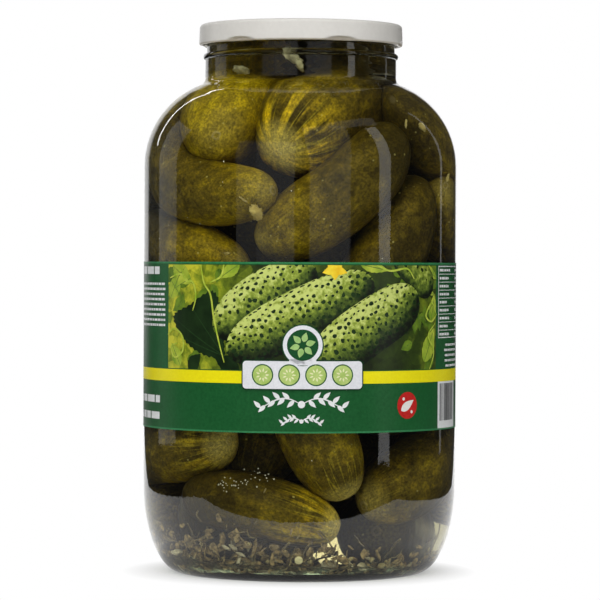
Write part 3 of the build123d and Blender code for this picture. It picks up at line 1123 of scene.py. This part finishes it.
def print_picture():
    """Gherkins among leaves, tendrils and a flower."""

    def paint(name, shapes, layer, dark, light, scale=900):
        printed(name, shapes, layer, dark, light, scale, PICTURE)

    dice = np.random.default_rng(3)
    left, low, right, high = PICTURE
    columns, rows = np.linspace(left, right, 24), np.linspace(low, high, 12)
    ground = [(x, z) for z in rows for x in columns]
    light = [0.95 - 0.022 * max(0, min(x + 60, 42)) + 0.004 * (z - low) + 0.01 * max(0, x - 50)
             for x, z in ground]
    bend_round("print_foliage", [(ground, grid_faces(12, 24), light)], 1,
               picture_ink("foliage_ink", foliage, FOLIAGE_SHADES))
    back_leaves, front_leaves, veins = [], [], []
    for _ in range(46):
        side = dice.choice([-1, 1])
        base = (dice.uniform(-78, -34) if side < 0 else dice.uniform(50, 82), dice.uniform(low, high))
        turn = dice.uniform(0, 2 * math.pi)
        size = dice.uniform(6, 13)
        tip = (base[0] + size * math.cos(turn), base[1] + size * math.sin(turn))
        back_leaves.append(leaf(base, tip, size * dice.uniform(0.4, 0.7), 5))
        veins.append(ribbon([base, tip], 0.35))
    for base, tip, width in FRONT_LEAVES:
        front_leaves.append(leaf(base, tip, width, 6))
        veins.append(ribbon([base, tip], 0.4))
    paint("print_back_leaves", back_leaves, 2, (60, 95, 22), (120, 150, 40), 160)
    paint("print_front_leaves", front_leaves, 3, (120, 155, 38), (196, 208, 70), 150)
    big_leaf = curve_through(DARK_LEAF, np.linspace(0, 1, 67)[:-1])
    big_leaf[1::2] += (big_leaf.mean(0) - big_leaf[1::2]) * 0.06
    dark_leaves = [big_leaf.tolist(), leaf((-30, 104), (-44, 111), 8, 5), leaf((-60, 104), (-52, 112), 7, 5)]
    paint("print_dark_leaf", dark_leaves, 4, (18, 36, 16), (34, 58, 26), 120)
    paint("print_veins", veins, 3.5, (70, 100, 36), (110, 140, 60))
    dark_veins = [ribbon([(-38, 111), tip], 0.4) for tip in ((-70, 129), (-62, 119), (-58, 135), (-45, 141))]
    paint("print_dark_veins", dark_veins, 5, (34, 62, 30), (48, 80, 38))
    bodies, warts = [], []
    for number, (route, width) in enumerate(PICTURED):
        body, its_warts = pictured_gherkin(route, width, number * LIFT, dice)
        bodies.append(body)
        in_front = PICTURED[number + 1:]
        for wart in its_warts:
            middle = np.mean(wart, axis=0)[:2]
            if not any(covers(other, thick, middle) for other, thick in in_front):
                warts.append(wart)
    bend_round("print_gherkins", bodies, 6, picture_ink("pictured_skin_ink", sunlit_skin, SKIN_SHADES),
               PICTURE)
    paint("print_warts", warts, 6, (18, 38, 18), (38, 62, 30), 500)
    top = 7 + len(PICTURED)
    petals = [leaf((17, 153.5), (17 + 6.5 * math.cos(a), 153.5 + 5.2 * math.sin(a)), 3.6, 4)
              for a in full_turn(5) - math.pi / 2]
    paint("print_flower", petals, top, (240, 190, 20), (252, 226, 60), 300)
    tendrils = [ribbon(route, 1.0) for route in TENDRILS]
    paint("print_tendrils", tendrils, top, (150, 185, 40), (208, 216, 90), 300)


def covers(route, width, place):
    """True if a pictured gherkin hides a place."""
    spine = curve_through(route, np.linspace(0.06, 0.94, 20))
    return np.hypot(*(spine - place).T).min() < width / 2


def foliage(place, shade):
    """Level of the out-of-focus greenery behind the pictured gherkins."""
    lot = split(cells(place, 170.0)[1])[0]
    return (lot * 0.2 + noise(place, 110, 5, 0.65) * 0.8) * (shade + 0.45)


def sunlit_skin(place, shade):
    """Level of a pictured gherkin's skin."""
    return shade + (noise(place, 420, 4, 0.6) - 0.5) * 1.2


def print_badge(layer):
    """Round white patch over the plate with a plain flower of six petals in it."""
    middle = np.array([1.5, 116.8])
    green = (20, 74, 38), (28, 86, 46), 700
    printed("print_badge_edge", [disc(*middle, 10.2)], layer, *green)
    printed("print_badge", [disc(*middle, 9.6), bar(-5, 107, 8, 110)], layer + 1, *OFF_WHITE)
    printed("print_badge_field", [disc(*middle, 7.6)], layer + 2, *green)
    petals = rosette(middle, full_turn(6) + 0.26, 1.6, 6.4, 3)
    printed("print_badge_petals", petals, layer + 3, (150, 190, 110), (176, 210, 136), 500)


def rosette(middle, turns, inner, outer, width):
    """Leaves around a point."""
    ways = [np.array([math.cos(turn), math.sin(turn)]) for turn in turns]
    return [leaf(middle + way * inner, middle + way * outer, width) for way in ways]


def print_plate():
    """White plate in the middle, with four slices of gherkin where a name would be."""
    left, low, right, high = PLATE
    base = 13
    printed("print_plate_edge", [rounded(left - 0.6, low - 0.6, right + 0.6, high + 0.6, 2.2)], base,
            (16, 58, 30), (20, 66, 36))
    printed("print_plate", [rounded(left, low, right, high, 1.8)], base + 1, *OFF_WHITE)
    print_badge(base + 1)
    middles = [np.array([across, (low + high) / 2]) for across in np.linspace(left + 10, right - 10, 4)]
    rims = [disc(*middle, 5.3, 10) for middle in middles]
    flesh = [disc(*middle, 4.7, 10) for middle in middles]
    seeds = [seed for middle in middles for seed in rosette(middle, full_turn(9), 1.4, 3.4, 0.8)]
    printed("print_slice_rims", rims, base + 2, (24, 84, 40), (40, 104, 50), 400)
    printed("print_slice_flesh", flesh, base + 3, (166, 196, 96), (196, 216, 130), 300)
    printed("print_slice_seeds", seeds, base + 4, (226, 230, 176), (240, 240, 200))


def sprig(middle, height, reach, size):
    """Two white leafy twigs that curve away from a small round fruit."""
    shapes = [disc(middle, height, size * 0.42)]
    for side in (-1, 1):
        stem = [(middle + side * reach * share, height + size * 0.7 * math.sin(math.pi * 1.2 * share))
                for share in np.linspace(0.06, 1, 9)]
        shapes.append(ribbon(stem, 0.7))
        for number, (x, z) in enumerate(stem[1:]):
            rise = size * (0.8 if number % 2 else -0.8)
            shapes.append(leaf((x, z), (x + side * size * 0.85, z + rise), size * 0.5))
    return shapes


def print_white():
    """White ornaments, rows of small print as plain bars, table, and block of bars."""
    dice = np.random.default_rng(5)
    white = sprig(1, 88, 20, 4.2) + sprig(1, 79.8, 9, 2.4)
    for left, right in SMALL_PRINT:
        for low in np.arange(125, 147, 2.55):
            white += words(left, right, low, low + 1.15, 0.5, dice)
        white += words(left, right - 4, 150.8, 154.6, 1.2, dice)
    for low in (87.0, 78.8):
        white += words(-119, -84, low, low + 3.6, 1.3, dice)
    for low in np.arange(105.2, 117, 2.6):
        white += words(90 + dice.uniform(0, 5), 112, low, low + 1.1, 0.5, dice)
    left, low, right, high = VALUES_BOX
    white += [bar(left, low, right, low + BOX_LINE), bar(left, high - BOX_LINE, right, high),
              bar(left, low, left + BOX_LINE, high), bar(right - BOX_LINE, low, right, high)]
    rows = np.linspace(low, high, 10)
    for bottom, top in zip(rows[:-1], rows[1:]):
        white.append(bar(left, top - 0.2, right, top + 0.1))
        white += words(left + 1.4, left + dice.uniform(10, 17), bottom + 1.3, bottom + 2.5, 0.45, dice)
        white += words(right - 8, right - 1.4, bottom + 1.3, bottom + 2.5, 0.45, dice)
    white.append(bar(*CODE))
    printed("print_white", white, 2, (228, 230, 230), (240, 241, 241))
    code, start = [], 85.0
    while start < 104:
        width = dice.choice([0.35, 0.7, 1.05])
        code.append(bar(start, 78.5, start + width, 97))
        start += width + dice.choice([0.35, 0.7])
    printed("print_code_bars", code, 3, (28, 26, 28), (44, 42, 44))
    across, height, radius = SEAL
    printed("print_seal", [disc(across, height, radius, 12)], 2, (186, 28, 26), (206, 40, 34), 600)
    gherkin = leaf((across - 4.2, height - 2.6), (across + 4.2, height + 2.6), 4.2)
    dots = [disc(across - 2.6, height + 3.2, 0.8), disc(across + 2.8, height - 3.2, 0.8)]
    printed("print_seal_mark", [gherkin, *dots], 3, (236, 232, 226), (246, 242, 238))


def make_label():
    """Green paper of the CAD label with everything printed on it."""
    paper = inked("label_paper", (20, 84, 40), (28, 95, 48), 700)
    frame["nodes"]["label"].material_slots[0].material = paper
    edges = [bar(-HALF_ROUND, z, HALF_ROUND, z + 0.9) for z in (LABEL_LOW, LABEL_HIGH - 0.9)]
    printed("print_edge_lines", edges, 1, (44, 118, 70), (58, 136, 84))
    low, high = BAND
    printed("print_band", [bar(-HALF_ROUND, low, HALF_ROUND, high)], 1, (244, 230, 4), (250, 238, 10))
    print_picture()
    print_plate()
    print_white()


# ---------------------------------------------------------------- camera, table and lights

CAMERA_DISTANCE = 1.65
CAMERA_HEIGHT = 0.1556
SENSOR_WIDTH = 36  # mm
VIEW_WIDTH = 0.30516  # width of the picture at the jar's axis
HORIZON_LIFT = 0.0583  # how far the horizon lies above the picture's middle, as a share of its width
CAMERA_ROLL = -0.25  # degrees
LAMPS_AIM = Vector((0, 0, 0.14))


def make_camera():
    camera = bpy.data.objects.new("camera", bpy.data.cameras.new("camera"))
    bpy.context.collection.objects.link(camera)
    camera.data.sensor_width = SENSOR_WIDTH
    camera.data.lens = SENSOR_WIDTH * CAMERA_DISTANCE / VIEW_WIDTH
    camera.location = (0, -CAMERA_DISTANCE, CAMERA_HEIGHT)
    pitch = math.atan(HORIZON_LIFT * VIEW_WIDTH / CAMERA_DISTANCE)
    camera.rotation_euler = (math.pi / 2 - pitch, math.radians(CAMERA_ROLL), 0)
    bpy.context.scene.camera = camera


def make_world():
    """White all round for the camera. The glass sees it white behind the jar, more so on its left."""
    world = bpy.data.worlds.new("studio")
    bpy.context.scene.world = world
    world.use_nodes = True
    tree = world.node_tree
    right, depth, up = split(signal(tree, "ShaderNodeTexCoord", "Generated"))
    rays = by_name(outputs(tree, "ShaderNodeLightPath"))
    room = spread(depth - right * 0.14, 0.925, 0.955) * 0.9 + 0.03
    behind = spread(depth - right * 0.6, 0.72, 0.95) * 0.62 + 0.04
    behind = behind * (spread(abs(up), 0.6, 0.3) * 0.9 + 0.1)
    level = rays["Is Diffuse Ray"] * 0.3 + rays["Is Glossy Ray"] * room + rays["Is Transmission Ray"] * behind
    level = level.reckon("MAXIMUM", rays["Is Camera Ray"])
    feed(tree.nodes["Background"], {"Strength": level, "Color": (1, 1, 1)})


TABLE_EDGES = (-0.43, 0.37, -0.16)  # left, right and front of the part of the table that glows as a painted reflection in the glass
TABLE_HALF = 3.0


def make_table():
    """Plain white table that fades into the white background away from the jar.

    The glass mirrors the part of the table that glows for glossy rays, a painted reflection that is darker
    near the jar as painted shadow, and shows painted light, pale green streaks that glow around the jar's
    foot for transmission rays.
    """
    material, tree, shader, output = new_material("table")
    place = object_place(tree)
    across, ahead, _ = split(place)
    rays = by_name(outputs(tree, "ShaderNodeLightPath"))
    grey = ramp(noise(place, 30, 2), [(0.3, (0.87, 0.87, 0.86)), (0.7, (0.89, 0.89, 0.88))])
    feed(shader, {"Base Color": grey, "Roughness": 0.7, "Specular IOR Level": 0.2})

    def shining(tint, strength):
        return signal(tree, "ShaderNodeEmission", 0, {"Color": tint, "Strength": strength})

    out = signal(tree, "ShaderNodeVectorMath", "Value", {0: place}, operation="LENGTH")
    far = spread(out, 0.05, 0.09) * rays["Is Camera Ray"]
    seen = mix_shaders(far, Signal(shader.outputs[0]), shining((1, 1, 1), 1.0))
    left, right, front = TABLE_EDGES
    on_table = (across > left) * (across < right) * (ahead > front)
    # Painted reflection of the table for glossy rays, darker near the jar as painted shadow.
    lit = on_table * (spread(out, 0.07, 0.1) * 0.7 + 0.3)
    seen = mix_shaders(rays["Is Glossy Ray"], seen, shining((1, 1, 1), lit * 1.26 + 0.04))
    # Painted light: streaks that glow on the table around the foot, seen through the glass only.
    gathered = spread(noise(place, 70, 3, 0.6), 0.48, 0.62) * spread(out, 0.09, 0.06) * 1.8
    seen = mix_shaders(rays["Is Transmission Ray"], seen, shining((0.72, 0.92, 0.66), gathered))
    feed(output, {"Surface": seen})
    corners = [(x * TABLE_HALF, y * TABLE_HALF, 0) for x, y in ((-1, -1), (1, -1), (1, 1), (-1, 1))]
    mesh = bpy.data.meshes.new("table")
    mesh.from_pydata(corners, [], [(0, 1, 2, 3)])
    mesh.materials.append(material)
    table = bpy.data.objects.new("table", mesh)
    bpy.context.collection.objects.link(table)


def make_lamp(name, turn, lift, distance, width, height, brightness, mirrored=True, roll=0):
    """Soft box at an angle from the front and above the table, pointed at the jar's middle.

    A mirrored one shows in the glass and hardly lights the jar; the others light it unseen.
    """
    lamp = bpy.data.objects.new(name, bpy.data.lights.new(name, "AREA"))
    bpy.context.collection.objects.link(lamp)
    lamp.data.shape = "RECTANGLE"
    lamp.data.size = width
    lamp.data.size_y = height
    lamp.data.energy = brightness * math.pi * width * height
    turn, lift = math.radians(turn), math.radians(lift)
    way = Vector((math.sin(turn) * math.cos(lift), -math.cos(turn) * math.cos(lift), math.sin(lift)))
    lamp.location = LAMPS_AIM + way * distance
    turned = way.to_track_quat("Z", "Y") @ Quaternion((0, 0, 1), math.radians(roll))
    lamp.rotation_euler = turned.to_euler()
    lamp.visible_glossy = mirrored
    lamp.visible_diffuse = not mirrored
    lamp.visible_transmission = False


def make_lights():
    make_lamp("key", -12, 48, 1.3, 0.9, 0.8, 5.0, mirrored=False)
    make_lamp("fill", 52, 20, 1.6, 0.8, 0.8, 1.0, mirrored=False)
    make_lamp("back_left", -145, 34, 1.2, 0.035, 1.0, 6.0, roll=30)
    make_lamp("right_strip", 62, 8, 1.0, 0.165, 1.4, 1.5)
    make_lamp("right_edge", 123, 8, 1.1, 0.05, 1.4, 0.7)
    make_lamp("front_panel", 21.3, 19, 1.9, 1.06, 2.2, 0.42)
    make_lamp("bridge", 50, 50, 1.9, 1.1, 0.3, 0.42)
    make_lamp("left_window", -17.7, 8, 1.9, 0.92, 1.4, 0.42)
    make_lamp("left_pane", -38.8, 8, 1.9, 0.5, 1.4, 0.3)
    make_lamp("left_panel", -112, 6, 1.2, 0.5, 1.2, 0.5)


# ---------------------------------------------------------------- making

make_camera()
make_world()
make_table()
make_lights()
frame["nodes"]["jar"].material_slots[0].material = glass_material()
make_brine()
make_gherkins()
make_sediment()
make_spices()
make_lid()
make_liner()
make_label()

scene = bpy.context.scene
scene.view_settings.view_transform = "Standard"
